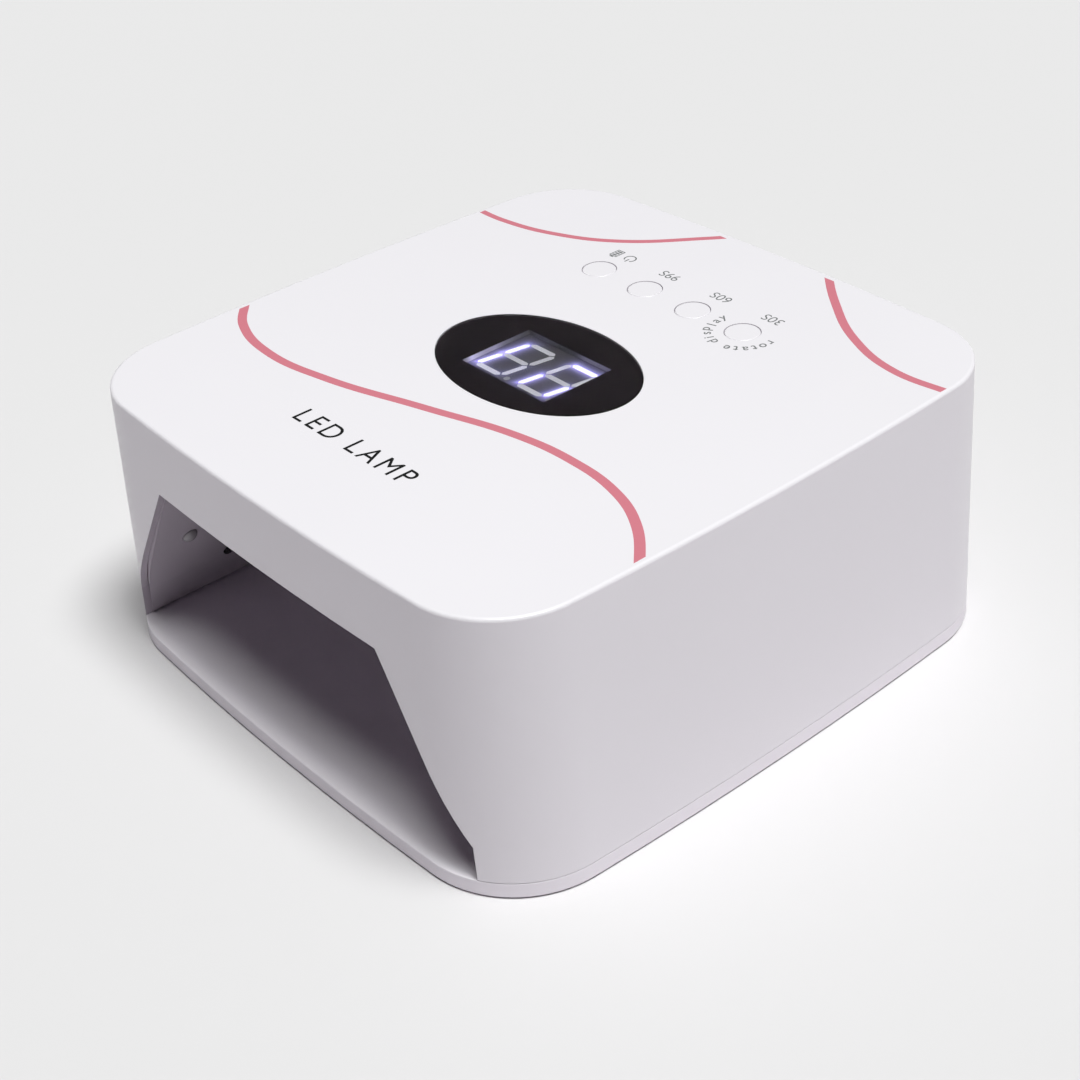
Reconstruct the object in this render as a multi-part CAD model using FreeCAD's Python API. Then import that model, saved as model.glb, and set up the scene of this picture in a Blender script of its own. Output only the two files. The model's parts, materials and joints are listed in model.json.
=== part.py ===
import FreeCAD, Part
import math
import os
from FreeCAD import Placement, Rotation, Vector

# A cordless LED nail lamp: a boxy shell with a hand chamber open at the front, standing on a thin
# base tray that magnets hold on, so that it lifts off for cleaning. Millimetres. +X is to the right
# seen from the front, the chamber opens towards -Y, +Z is up, and the origin is at the middle of
# the footprint, on the surface that the feet stand on.

os.makedirs("parts", exist_ok=True)

# Casing outline at the top face: a rounded square whose four sides bow outwards a little.
HEIGHT = 87.3
TOP_HALF_X = 97.0
TOP_HALF_Y = 100.0
SIDE_BOW_R = 1490.0
END_BOW_R = 1300.0
CORNER_R = 28.5
SPREAD = 3.5  # how far the outline has grown outwards at the foot of the drafted sides
TOP_EDGE_R = 1.0
WALL = 2.2
TOP_WALL = 2.9

# Base tray, feet and the magnets that hold the lamp on it.
FOOT_DROP = 0.4
FOOT_R = 7.0
FOOT_T = 2.2
FOOT_AT = (76.0, 80.0)
TRAY_T = 4.8
TRAY_TOP = FOOT_DROP + TRAY_T
SEAM = 0.2
SHELL_BOTTOM = TRAY_TOP + SEAM
MAGNET_R = 5.0
MAGNET_T = 2.0
MAGNET_PROUD = 0.2
MAGNET_AT = (90.5, 74.0)
KEEPER_T = 1.0
PEG_R = 2.5
PEG_H = 2.0
PEG_CLEAR = 0.5

# Hand opening in the front wall, right half, from its top corner down, as (x, z).
OPENING = [(51.5, 65.2), (81.7, 16.1), (82.4, 5.4)]

# Chamber liner: a tunnel with sloping sides, and a flange round its foot that closes the casing.
LINER = [(51.5, 65.2), (80.2, 13.5), (82.0, 5.8)]
LINER_T = 1.8
LINER_GAP = 0.15
LINER_FOLD_R = 25.0
CHAMBER_REAR = 76.0
FLANGE_T = 2.0

# Window and its printed mask, in the top wall.
LENS_HALF_X = 36.3
LENS_HALF_Y = 24.75
LENS_Y = 0.4
LENS_T = 1.2
MASK_T = 0.1
MASK_GAP = 0.02  # air film between the window and its mask
APERTURE = (36.4, 26.0)
LEDGE_APERTURE = (36.8, 26.4)

# Two-digit display under the window; 0.8 inch digits.
DISPLAY = (38.0, 27.8, 8.9)
DISPLAY_DEPTH = 2.95
DIGIT_W = 11.0
DIGIT_H = 18.4
DIGIT_PITCH = 18.4
DIGIT_SLANT = math.radians(10.0)
SEGMENT_W = 1.9
SEGMENT_GAP = 0.35
SEGMENT_T = 0.5
DOT_R = 1.0

# Buttons in a row behind the window.
BUTTON_NAMES = ["power", "99s", "60s", "30s"]
BUTTON_PITCH = 20.8
BUTTON_ROW_X = -1.1
BUTTON_Y = 54.4
BUTTON_HOLE_R = 5.6
BUTTON_GAP = 0.2
BUTTON_CAP_T = 3.2
BUTTON_FLANGE = (6.7, 0.8)
BUTTON_STEM_R = 2.5
BUTTON_TRAVEL = 0.6

# Control board, hung from bosses under the top wall.
BOARD_T = 1.6
BOARD_TOP = HEIGHT - DISPLAY_DEPTH - DISPLAY[2]
BOARD = (-46.0, 46.0, -22.0, 66.5)
BOARD_BOSSES = [(-42.0, -18.0), (42.0, -18.0), (-42.0, 62.5), (42.0, 62.5)]
BOSS_R = 3.0
SWITCH = (6.0, 6.0, 3.5)
PLUNGER_R = 1.65
PLUNGER_BORE_R = 1.85
PLUNGER_BORE = 2.2
PLUNGER_RISE = 0.9

# LED beads and their boards on the outside of the liner.
BEAD_R = 2.5
BEAD_HOLE_R = 2.65
BEAD_CYLINDER = 2.2
BEAD_DOME = 1.4
BEAD_PITCH = 30.0
BEAD_FIRST_Y = -85.0
BEADS_PER_ROW = 6
LED_BOARD_T = 1.6
LED_BOARD_GAP = 0.05
LED_BOARD_BORDER = (6.0, 7.0)
REAR_PANEL_Z = 40.0
REAR_BEADS = [(-40.0, 0.0), (0.0, 8.0), (40.0, 0.0)]
REAR_BOARD = (47.0, 12.0, 0.0, 4.0)
REAR_SCREWS = [(-20.0, 4.0), (20.0, 4.0)]
SIDE_ROWS = (-15.0, 3.0)  # rows of beads on a side wall, down the slope from its middle
CEILING_ROWS = (-30.0, 0.0, 30.0)
SENSOR_R = 2.3
SENSOR_Y = -67.0
SENSOR_DOWN = 0.912  # how far down the sloping wall the hand sensor sits
SENSOR_BLOCK = (6.0, 8.0, 4.0)
SENSOR_PROUD = 0.5

# Batteries, one pack of two round cells in each side of the casing.
CELL_R = 9.1
CELL_LENGTH = 65.0
CELL_AT = (82.8, 53.0)
CELL_TIP = (3.0, 1.0)
CONTACT_T = 1.6
CONTACT_HALF_W = 5.0
CONTACT_LOW = 6.0
CONTACT_HIGH = 7.5
HOLDER_HALF_W = 10.9
HOLDER_FLOOR = 1.6
HOLDER_END = 1.8
HOLDER_RISE = 2.0
FOAM_Y = 38.0
FOAM_HALF_L = 22.0
FOAM_H = 8.0

# Rear wall: power inlet for a 5.5 mm barrel plug with a 2.1 mm pin, and two groups of air slots.
JACK_Z = 24.0
JACK_BODY = (10.0, 12.0, 11.0)
JACK_NOSE_R = 4.0
JACK_BORE_R = 2.9
JACK_BORE_DEPTH = 9.5
JACK_PIN_R = 1.05
SLOT = (2.0, 14.0)
SLOTS_PER_GROUP = 5
SLOT_PITCH = 5.0
SLOT_GROUP_X = 42.0
SLOT_Z = 34.0
SLOT_CUT_Y = (94.0, 110.0)

# Screws, as (head radius, head height, shank radius, shank length).
LINER_SCREW = (2.9, 1.8, 1.4, 12.0)
LINER_SCREWS_AT = [(-90.5, -46.0), (90.5, -46.0), (-90.5, 46.0), (90.5, 46.0), (-42.0, 89.0), (42.0, 89.0)]
LINER_CUP_R = 4.2
LINER_CUP_TOP = 11.0
CASE_BOSS_R = 3.6
CASE_BOSS_TOP = 30.0
BOARD_SCREW = (2.5, 1.5, 1.2, 7.0)
LED_SCREW = (1.9, 1.0, 0.9, 2.8)

# What the control board carries. Connectors stand on its top, as (x, y, size in X, size in Y).
CONNECTOR_H = 5.8
CONNECTORS = {
    "battery_left": (-42.0, 36.0, 6.0, 8.0),
    "battery_right": (42.0, 36.0, 6.0, 8.0),
    "led_left": (-42.0, 8.0, 6.0, 6.0),
    "led_right": (42.0, 8.0, 6.0, 6.0),
    "led_rear": (-1.1, 63.0, 6.0, 5.0),
    "inlet": (19.7, 63.0, 6.0, 5.0),
}
CHIP_AT = (-23.0, 23.0)
CHIP = (10.0, 6.0, 1.8)
CHIP_STANDOFF = 0.1
CHIP_LEGS = 7
CHIP_LEG = (0.5, 1.2, 1.0)
CHIP_LEG_PITCH = 1.27
COILS_AT = [(-26.0, 44.0), (26.0, 44.0)]
COIL = (3.2, 3.4)
CAPACITORS_AT = [(-34.0, 5.0), (20.0, 5.0), (34.0, 5.0)]
CAPACITOR = (6.0, 6.0, 2.8)
TRANSISTORS_AT = [(-14.0, 18.0), (-8.0, 18.0), (14.0, 18.0), (20.0, 18.0)]
TRANSISTOR = (3.2, 4.0, 1.2)
PIN_R = 0.4
PIN_PITCH = 2.54
PIN_TAIL = 1.4
HEADER_AT = (-0.19, 31.0)
HEADER_PINS = 4
DISPLAY_PINS = 5

LEAD_R = 0.8
LEAD_BEND_R = 4.0
THIN_LEAD_R = 0.7
THIN_LEAD_BEND_R = 2.5
THIN_LEAD_H = 2.6  # height of the thin leads' run above the board

OVERCUT = 20.0  # how far a cutting solid reaches past what it cuts
OPENING_CUT_Y = -85.0


def write_node(name, pieces):
    """Write one named node: one solid, or a group of separate solids."""
    shape = pieces[0] if len(pieces) == 1 else Part.makeCompound(pieces)
    shape.exportStep("parts/" + name + ".step")


def box(x0, x1, y0, y1, z0, z1):
    """A block between two corners."""
    return Part.makeBox(x1 - x0, y1 - y0, z1 - z0, Vector(x0, y0, z0))


def disc(x, y, z0, z1, radius):
    """An upright cylinder from z0 to z1."""
    return Part.makeCylinder(radius, z1 - z0, Vector(x, y, z0))


def rod(x, y0, y1, z, radius):
    """A cylinder along Y from y0 to y1."""
    return Part.makeCylinder(radius, y1 - y0, Vector(x, y0, z), Vector(0, 1, 0))


def corners(x, y):
    """The four mirrored places of (x, y)."""
    return [(-x, -y), (x, -y), (-x, y), (x, y)]


def screw(size, x, y, seat):
    """An upright screw, driven from below, whose head ends at height seat."""
    head_r, head_h, shank_r, shank = size
    head = disc(x, y, seat - head_h, seat, head_r)
    return head.fuse(disc(x, y, seat, seat + shank, shank_r)).removeSplitter()


def fused(pieces):
    """All pieces joined into one clean solid."""
    shape = pieces[0]
    for piece in pieces[1:]:
        shape = shape.fuse(piece)
    return shape.removeSplitter()


# ---------------------------------------------------------------- casing outline

def corner_centre():
    """Centre of the corner arc in +X +Y, tangent to the bowed side and the bowed end."""
    side_x = TOP_HALF_X - SIDE_BOW_R
    end_y = TOP_HALF_Y - END_BOW_R
    r_side = SIDE_BOW_R - CORNER_R
    r_end = END_BOW_R - CORNER_R
    span = math.hypot(side_x, end_y)
    along = (r_side ** 2 - r_end ** 2 + span ** 2) / (2.0 * span)
    across = math.sqrt(r_side ** 2 - along ** 2)
    ux = -side_x / span
    uy = end_y / span
    return side_x + ux * along - uy * across, uy * along + ux * across


def arc_edge(cx, cy, radius, start, stop, z):
    """A circular arc about (cx, cy) between two angles, at height z."""
    points = []
    for angle in (start, (start + stop) / 2.0, stop):
        points.append(Vector(cx + radius * math.cos(angle), cy + radius * math.sin(angle), z))
    return Part.Arc(*points).toShape()


def outline(grow, z):
    """The closed casing outline at height z, grown outwards by grow."""
    cx, cy = corner_centre()
    side_x = TOP_HALF_X - SIDE_BOW_R
    end_y = TOP_HALF_Y - END_BOW_R
    t_side = math.atan2(cy, cx - side_x)
    t_end = math.atan2(cy - end_y, cx)
    side_r = SIDE_BOW_R + grow
    end_r = END_BOW_R + grow
    corner_r = CORNER_R + grow
    half = math.pi
    edges = [
        arc_edge(side_x, 0.0, side_r, -t_side, t_side, z),
        arc_edge(cx, cy, corner_r, t_side, t_end, z),
        arc_edge(0.0, end_y, end_r, t_end, half - t_end, z),
        arc_edge(-cx, cy, corner_r, half - t_end, half - t_side, z),
        arc_edge(-side_x, 0.0, side_r, half - t_side, half + t_side, z),
        arc_edge(-cx, -cy, corner_r, half + t_side, half + t_end, z),
        arc_edge(0.0, -end_y, end_r, half + t_end, 2.0 * half - t_end, z),
        arc_edge(cx, -cy, corner_r, -t_end, -t_side, z),
    ]
    return Part.Wire(edges)


def casing_block(inset, z0, z1):
    """The drafted casing form between two heights, moved inwards by inset."""
    wires = []
    for z in (z0, z1):
        grow = SPREAD * (HEIGHT - z) / (HEIGHT - FOOT_DROP)
        wires.append(outline(grow - inset, z))
    return Part.makeLoft(wires, True, True)


def edges_at(shape, z):
    """The edges of a shape that lie wholly at height z."""
    found = []
    for edge in shape.Edges:
        low = edge.BoundBox.ZMin
        high = edge.BoundBox.ZMax
        if abs(low - z) < 1e-4 and abs(high - z) < 1e-4:
            found.append(edge)
    return found


# ---------------------------------------------------------------- chamber profile

def moved_out(profile, distance):
    """The right half profile moved outwards, with mitred corners."""
    lines = []
    first = (0.0, profile[0][1])
    chain = [first] + profile
    for (xa, za), (xb, zb) in zip(chain[:-1], chain[1:]):
        length = math.hypot(xb - xa, zb - za)
        nx = -(zb - za) / length
        nz = (xb - xa) / length
        lines.append((xa + nx * distance, za + nz * distance, xb - xa, zb - za))
    points = []
    for (xa, za, ua, wa), (xb, zb, ub, wb) in zip(lines[:-1], lines[1:]):
        cross = ua * wb - wa * ub
        t = ((xb - xa) * wb - (zb - za) * ub) / cross
        points.append((xa + ua * t, za + wa * t))
    last = lines[-1]
    points.append((last[0] + last[2], last[1] + last[3]))
    return points


def tunnel(profile, floor, y0, y1):
    """A prism along Y with the given half profile, mirrored, and a flat floor."""
    right = list(profile)
    xa, za = right[-2]
    xb, zb = right[-1]
    right[-1] = (xb + (xb - xa) * (floor - zb) / (zb - za), floor)
    left = [(-x, z) for x, z in reversed(right)]
    points = [Vector(x, y0, z) for x, z in right + left]
    face = Part.Face(Part.makePolygon(points + [points[0]]))
    return face.extrude(Vector(0.0, y1 - y0, 0.0))


def panel_places():
    """Where each LED board sits: its placement has local +Z pointing into the chamber."""
    (x_top, z_top), (x_low, z_low) = LINER[0], LINER[1]
    fall = math.degrees(math.atan2(z_top - z_low, x_low - x_top))
    mid = ((x_top + x_low) / 2.0, (z_top + z_low) / 2.0)
    turn = 180.0 - fall
    places = {
        "left": Placement(Vector(-mid[0], 0.0, mid[1]), Rotation(Vector(0, 1, 0), turn)),
        "right": Placement(Vector(mid[0], 0.0, mid[1]), Rotation(Vector(0, 1, 0), -turn)),
        "ceiling": Placement(Vector(0.0, 0.0, z_top), Rotation(Vector(0, 1, 0), 180.0)),
        "rear": Placement(Vector(0.0, CHAMBER_REAR, REAR_PANEL_Z), Rotation(Vector(1, 0, 0), 90.0)),
    }
    return places


def panel_layout():
    """Each panel's bead points, board (half sizes, middle) and screw points, in local u, v."""
    columns = [BEAD_FIRST_Y + BEAD_PITCH * i for i in range(BEADS_PER_ROW)]
    layout = {}
    panels = (
        ("left", columns, SIDE_ROWS, 1.0),
        ("right", columns, SIDE_ROWS, -1.0),
        ("ceiling", columns[1:], CEILING_ROWS, 1.0),
    )
    for name, used, rows, down in panels:
        mid_u = down * (rows[0] + rows[-1]) / 2.0
        half_u = (rows[-1] - rows[0]) / 2.0 + LED_BOARD_BORDER[0]
        mid_v = (used[0] + used[-1]) / 2.0
        half_v = (used[-1] - used[0]) / 2.0 + LED_BOARD_BORDER[1]
        screw_u = down * (rows[0] + rows[1]) / 2.0
        layout[name] = {
            "beads": [(down * row, y) for row in rows for y in used],
            "board": (half_u, half_v, mid_u, mid_v),
            "screws": [(screw_u, y + BEAD_PITCH / 2.0) for y in used[:-1:2]],
        }
    layout["rear"] = {"beads": REAR_BEADS, "board": REAR_BOARD, "screws": REAR_SCREWS}
    return layout


def on_panel(shape, place, u, v, depth):
    """A shape made along local +Z, put at (u, v) with its origin at a depth outside the wall."""
    moved = shape.copy()
    local = Placement(Vector(u, v, -depth), Rotation())
    moved.Placement = place.multiply(local)
    return moved


# ---------------------------------------------------------------- base body

def make_base_tray():
    tray = casing_block(0.0, FOOT_DROP, TRAY_TOP)
    tray = tray.makeFillet(0.5, edges_at(tray, FOOT_DROP))
    tray = tray.makeFillet(0.3, edges_at(tray, TRAY_TOP))
    for x, y in corners(*FOOT_AT):
        tray = tray.cut(disc(x, y, FOOT_DROP - 1.0, FOOT_T, FOOT_R))
    for x, y in corners(*MAGNET_AT):
        low = TRAY_TOP + MAGNET_PROUD - MAGNET_T
        tray = tray.cut(disc(x, y, low, TRAY_TOP + 1.0, MAGNET_R))
    for side in (-1, 1):
        peg = disc(side * MAGNET_AT[0], 0.0, TRAY_TOP - 1.0, TRAY_TOP + PEG_H, PEG_R)
        peg = peg.makeChamfer(0.4, edges_at(peg, TRAY_TOP + PEG_H))
        tray = tray.fuse(peg)
    return tray.removeSplitter()


def make_feet():
    feet = []
    for x, y in corners(*FOOT_AT):
        foot = disc(x, y, 0.0, FOOT_T, FOOT_R)
        feet.append(foot.makeChamfer(0.3, edges_at(foot, 0.0)))
    return feet


def make_magnets():
    top = TRAY_TOP + MAGNET_PROUD
    return [disc(x, y, top - MAGNET_T, top, MAGNET_R) for x, y in corners(*MAGNET_AT)]


# ---------------------------------------------------------------- shell

def button_places():
    """Each button's name and centre."""
    count = len(BUTTON_NAMES)
    places = []
    for i, name in enumerate(BUTTON_NAMES):
        x = BUTTON_ROW_X + BUTTON_PITCH * (i - (count - 1) / 2.0)
        places.append((name, x, BUTTON_Y))
    return places


def lens_block(grow, z0, z1):
    """An upright oval block with the window's outline."""
    oval = Part.Ellipse(Vector(0.0, LENS_Y, z0), LENS_HALF_X + grow, LENS_HALF_Y + grow)
    return Part.Face(Part.Wire(oval.toShape())).extrude(Vector(0.0, 0.0, z1 - z0))


def aperture_block(size, z0, z1):
    """A block the size of a rectangular aperture, on the window's centre."""
    return box(-size[0] / 2.0, size[0] / 2.0, -size[1] / 2.0, size[1] / 2.0, z0, z1)


def shell_bosses():
    """Bosses for the control board, and posts for the liner's screws with webs to the wall."""
    bosses = []
    under = HEIGHT - TOP_WALL
    for x, y in BOARD_BOSSES:
        bosses.append(disc(x, y, BOARD_TOP, under + 1.0, BOSS_R))
    inside = casing_block(WALL / 2.0, SHELL_BOTTOM, HEIGHT - TOP_WALL / 2.0)
    for x, y in LINER_SCREWS_AT:
        bosses.append(disc(x, y, LINER_CUP_TOP, CASE_BOSS_TOP, CASE_BOSS_R))
        if abs(y) > abs(x):
            web = box(x - 1.0, x + 1.0, y, y + OVERCUT, LINER_CUP_TOP, CASE_BOSS_TOP)
        else:
            far = x + math.copysign(OVERCUT, x)
            web = box(min(x, far), max(x, far), y - 1.0, y + 1.0, LINER_CUP_TOP, CASE_BOSS_TOP)
        bosses.append(web.common(inside))
    return bosses


def make_shell():
    # With spline faces, the fillet round the top comes out alike at all four corners.
    shell = casing_block(0.0, SHELL_BOTTOM, HEIGHT).toNurbs()
    shell = shell.makeFillet(TOP_EDGE_R, edges_at(shell, HEIGHT))
    shell = shell.cut(casing_block(WALL, SHELL_BOTTOM - 1.0, HEIGHT - TOP_WALL))
    shell = fused([shell] + shell_bosses())
    shell = shell.cut(tunnel(OPENING, 0.0, -TOP_HALF_Y - OVERCUT, OPENING_CUT_Y))
    shell = shell.cut(lens_block(0.1, mask_bottom(), HEIGHT + 1.0))
    shell = shell.cut(aperture_block(LEDGE_APERTURE, HEIGHT - TOP_WALL - 1.0, HEIGHT))
    for _, x, y in button_places():
        shell = shell.cut(disc(x, y, HEIGHT - TOP_WALL - 1.0, HEIGHT + 1.0, BUTTON_HOLE_R))
    shell = shell.cut(rod(0.0, SLOT_CUT_Y[0], SLOT_CUT_Y[1], JACK_Z, JACK_NOSE_R + 0.1))
    for hole in make_liner_screws() + make_board_screws() + rear_slots():
        shell = shell.cut(hole)
    return shell


def rear_slots():
    """Upright air slots with round ends, in two groups."""
    slots = []
    half = (SLOT[1] - SLOT[0]) / 2.0
    for group in (-SLOT_GROUP_X, SLOT_GROUP_X):
        for i in range(SLOTS_PER_GROUP):
            x = group + SLOT_PITCH * (i - (SLOTS_PER_GROUP - 1) / 2.0)
            radius = SLOT[0] / 2.0
            cut = box(x - radius, x + radius, *SLOT_CUT_Y, SLOT_Z - half, SLOT_Z + half)
            for z in (SLOT_Z - half, SLOT_Z + half):
                cut = cut.fuse(rod(x, *SLOT_CUT_Y, z, radius))
            slots.append(cut.removeSplitter())
    return slots


def make_lens():
    lens = lens_block(0.0, HEIGHT - LENS_T, HEIGHT)
    return lens.makeChamfer(0.15, edges_at(lens, HEIGHT))


def mask_bottom():
    """Height of the floor of the window's recess, which the mask lies on."""
    return HEIGHT - LENS_T - MASK_GAP - MASK_T


def make_mask():
    bottom = mask_bottom()
    mask = lens_block(-0.1, bottom, bottom + MASK_T)
    return mask.cut(aperture_block(APERTURE, bottom - 1.0, HEIGHT))


# ---------------------------------------------------------------- liner

def make_liner():
    foot = LINER[-1][1]
    outer = moved_out(LINER, LINER_T)
    block = tunnel(outer, SHELL_BOTTOM, -TOP_HALF_Y - OVERCUT, CHAMBER_REAR + LINER_T)
    block = block.common(casing_block(WALL + LINER_GAP, SHELL_BOTTOM, HEIGHT - TOP_WALL))
    flange = casing_block(WALL + LINER_GAP, foot, foot + FLANGE_T)
    cups = [disc(x, y, foot, LINER_CUP_TOP, LINER_CUP_R) for x, y in LINER_SCREWS_AT]
    liner = fused([block, flange] + cups)
    liner = liner.cut(tunnel(LINER, 0.0, -TOP_HALF_Y - OVERCUT, CHAMBER_REAR))
    reach = TOP_HALF_Y + OVERCUT
    liner = liner.cut(box(-reach, reach, -reach, reach, 0.0, foot))
    liner = liner.makeFillet(LINER_FOLD_R, [edge for edge in liner.Edges if is_fold(edge)])
    head_r, _, shank_r, _ = LINER_SCREW
    for x, y in LINER_SCREWS_AT:
        liner = liner.cut(disc(x, y, 0.0, LINER_CUP_TOP - 2.0, head_r + 0.2))
        liner = liner.cut(disc(x, y, 0.0, LINER_CUP_TOP + 1.0, shank_r + 0.2))
    for x, y in corners(*MAGNET_AT):
        liner = liner.cut(disc(x, y, 0.0, foot + KEEPER_T, MAGNET_R))
    for side in (-1, 1):
        liner = liner.cut(disc(side * MAGNET_AT[0], 0.0, 0.0, 10.0, PEG_R + PEG_CLEAR))
    return drilled_for_panels(liner)


def is_fold(edge):
    """True for the long inner edges where the sloping side meets the steeper foot of the wall."""
    x_fold, z_fold = LINER[1]
    low = edge.BoundBox
    long_enough = low.YLength > 100.0
    return long_enough and abs(low.ZMin - z_fold) < 0.01 and abs(abs(low.XMin) - x_fold) < 0.01


def drilled_for_panels(liner):
    """The liner with its bead holes, sensor holes and pilot holes."""
    places = panel_places()
    hole = disc(0.0, 0.0, -1.0, LINER_T + 1.0, BEAD_HOLE_R)
    for name, panel in panel_layout().items():
        for u, v in panel["beads"]:
            liner = liner.cut(on_panel(hole, places[name], u, v, LINER_T))
        for u, v in panel["screws"]:
            liner = liner.cut(led_screw(places[name], u, v))
    for side in (-1, 1):
        liner = liner.cut(sensor_shape(side, 0.15, 2.0))
    return liner


def sensor_place(side):
    """The hand sensors sit low on the sloping walls, near the front of the chamber."""
    (x_top, z_top), (x_low, z_low) = LINER[0], LINER[1]
    x = x_top + (x_low - x_top) * SENSOR_DOWN
    z = z_top + (z_low - z_top) * SENSOR_DOWN
    turn = 180.0 - math.degrees(math.atan2(z_top - z_low, x_low - x_top))
    return Placement(Vector(side * x, SENSOR_Y, z), Rotation(Vector(0, 1, 0), -side * turn))


def sensor_shape(side, clearance, extra):
    """A short black sensor barrel through the wall, its face just inside the chamber."""
    barrel = disc(0.0, 0.0, 0.0, LINER_T + SENSOR_PROUD + extra, SENSOR_R + clearance)
    place = sensor_place(side).multiply(Placement(Vector(0.0, 0.0, -LINER_T - extra), Rotation()))
    barrel.Placement = place
    return barrel


def sensor_body(side):
    """The sensor with its small block behind the wall."""
    depth = LINER_T + LED_BOARD_GAP
    face = depth + SENSOR_PROUD
    barrel = disc(0.0, 0.0, -0.5, face, SENSOR_R)
    barrel = barrel.makeFillet(0.4, edges_at(barrel, face))
    half_x = SENSOR_BLOCK[0] / 2.0
    half_y = SENSOR_BLOCK[1] / 2.0
    block = box(-half_x, half_x, -half_y, half_y, -SENSOR_BLOCK[2], 0.0)
    sensor = barrel.fuse(block).removeSplitter()
    sensor.Placement = sensor_place(side).multiply(Placement(Vector(0.0, 0.0, -depth), Rotation()))
    return sensor


# ---------------------------------------------------------------- LED panels

def bead_shape():
    """A moulded LED bead: a cylinder with a low dome."""
    top = BEAD_CYLINDER
    dome_r = (BEAD_R ** 2 + BEAD_DOME ** 2) / (2.0 * BEAD_DOME)
    rise = math.sqrt(dome_r ** 2 - (BEAD_R / 2.0) ** 2) - (dome_r - BEAD_DOME)
    peak = Vector(0.0, 0.0, top + BEAD_DOME)
    edges = [
        Part.makeLine(Vector(0, 0, 0), Vector(BEAD_R, 0, 0)),
        Part.makeLine(Vector(BEAD_R, 0, 0), Vector(BEAD_R, 0, top)),
        Part.Arc(Vector(BEAD_R, 0, top), Vector(BEAD_R / 2.0, 0, top + rise), peak).toShape(),
        Part.makeLine(peak, Vector(0, 0, 0)),
    ]
    face = Part.Face(Part.Wire(edges))
    return face.revolve(Vector(0, 0, 0), Vector(0, 0, 1), 360.0)


def make_beads(name):
    place = panel_places()[name]
    beads = panel_layout()[name]["beads"]
    return [on_panel(bead_shape(), place, u, v, LINER_T + LED_BOARD_GAP) for u, v in beads]


def led_screw(place, u, v):
    """A small screw through an LED board into the liner wall."""
    return on_panel(screw(LED_SCREW, 0.0, 0.0, 0.0), place, u, v, LINER_T + LED_BOARD_GAP + LED_BOARD_T)


def make_led_screws():
    places = panel_places()
    made = []
    for name, panel in panel_layout().items():
        made += [led_screw(places[name], u, v) for u, v in panel["screws"]]
    return made


def make_led_board(name):
    place = panel_places()[name]
    panel = panel_layout()[name]
    half_u, half_v, mid_u, mid_v = panel["board"]
    plate = box(mid_u - half_u, mid_u + half_u, mid_v - half_v, mid_v + half_v, 0.0, LED_BOARD_T)
    board = on_panel(plate, place, 0.0, 0.0, LINER_T + LED_BOARD_GAP + LED_BOARD_T)
    for u, v in panel["screws"]:
        board = board.cut(led_screw(place, u, v))
    return board


# ---------------------------------------------------------------- display

def segment_prism(points, origin_x):
    """One slanted bar of a digit, from flat (x, y) corners."""
    top = HEIGHT - DISPLAY_DEPTH
    lean = math.tan(DIGIT_SLANT)
    corners_3d = [Vector(origin_x + x + y * lean, y, top - SEGMENT_T) for x, y in points]
    face = Part.Face(Part.makePolygon(corners_3d + [corners_3d[0]]))
    return face.extrude(Vector(0.0, 0.0, SEGMENT_T))


def bar(x0, y0, x1, y1):
    """A six-cornered bar between two nodes of the digit's grid."""
    length = math.hypot(x1 - x0, y1 - y0)
    ux = (x1 - x0) / length
    uy = (y1 - y0) / length
    half = SEGMENT_W / 2.0
    tip = SEGMENT_GAP
    end = length - SEGMENT_GAP
    upper = [(tip, 0.0), (tip + half, half), (end - half, half)]
    lower = [(end, 0.0), (end - half, -half), (tip + half, -half)]
    return [(x0 + ux * u - uy * v, y0 + uy * u + ux * v) for u, v in upper + lower]


def make_digit(side):
    """Seven bars and a decimal dot; side is -1 for the left digit and 1 for the right one."""
    x = DIGIT_W / 2.0
    y = DIGIT_H / 2.0
    runs = [
        (-x, y, x, y), (x, 0.0, x, y), (x, -y, x, 0.0), (-x, -y, x, -y),
        (-x, -y, -x, 0.0), (-x, 0.0, -x, y), (-x, 0.0, x, 0.0),
    ]
    origin_x = side * DIGIT_PITCH / 2.0
    pieces = [segment_prism(bar(*run), origin_x) for run in runs]
    dot_x = origin_x + x - y * math.tan(DIGIT_SLANT) + SEGMENT_W / 2.0 + 1.9 * DOT_R
    top = HEIGHT - DISPLAY_DEPTH
    pieces.append(disc(dot_x, -y, top - SEGMENT_T, top, DOT_R))
    return pieces


def make_display():
    top = HEIGHT - DISPLAY_DEPTH
    module = aperture_block(DISPLAY, top - DISPLAY[2], top)
    for segment in make_digit(-1) + make_digit(1):
        module = module.cut(segment)
    return module


def make_display_pins():
    """A row of pins along each edge of the display, through the board."""
    pins = []
    for y in (-DISPLAY[1] / 2.0 + 2.0, DISPLAY[1] / 2.0 - 2.0):
        for x in pin_row(DISPLAY_PINS, 0.0):
            pins.append(disc(x, y, BOARD_TOP - BOARD_T - PIN_TAIL, BOARD_TOP, PIN_R))
    return pins


def pin_row(count, middle):
    """Evenly spaced places for a row of pins about its middle."""
    return [middle + PIN_PITCH * (i - (count - 1) / 2.0) for i in range(count)]


# ---------------------------------------------------------------- control board

def make_control_board():
    x0, x1, y0, y1 = BOARD
    board = box(x0, x1, y0, y1, BOARD_TOP - BOARD_T, BOARD_TOP)
    for pin in make_display_pins() + make_header_pins() + make_board_screws():
        board = board.cut(pin)
    return board


def make_board_screws():
    return [screw(BOARD_SCREW, x, y, BOARD_TOP - BOARD_T) for x, y in BOARD_BOSSES]


def make_liner_screws():
    return [screw(LINER_SCREW, x, y, LINER_CUP_TOP - 2.0) for x, y in LINER_SCREWS_AT]


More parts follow.
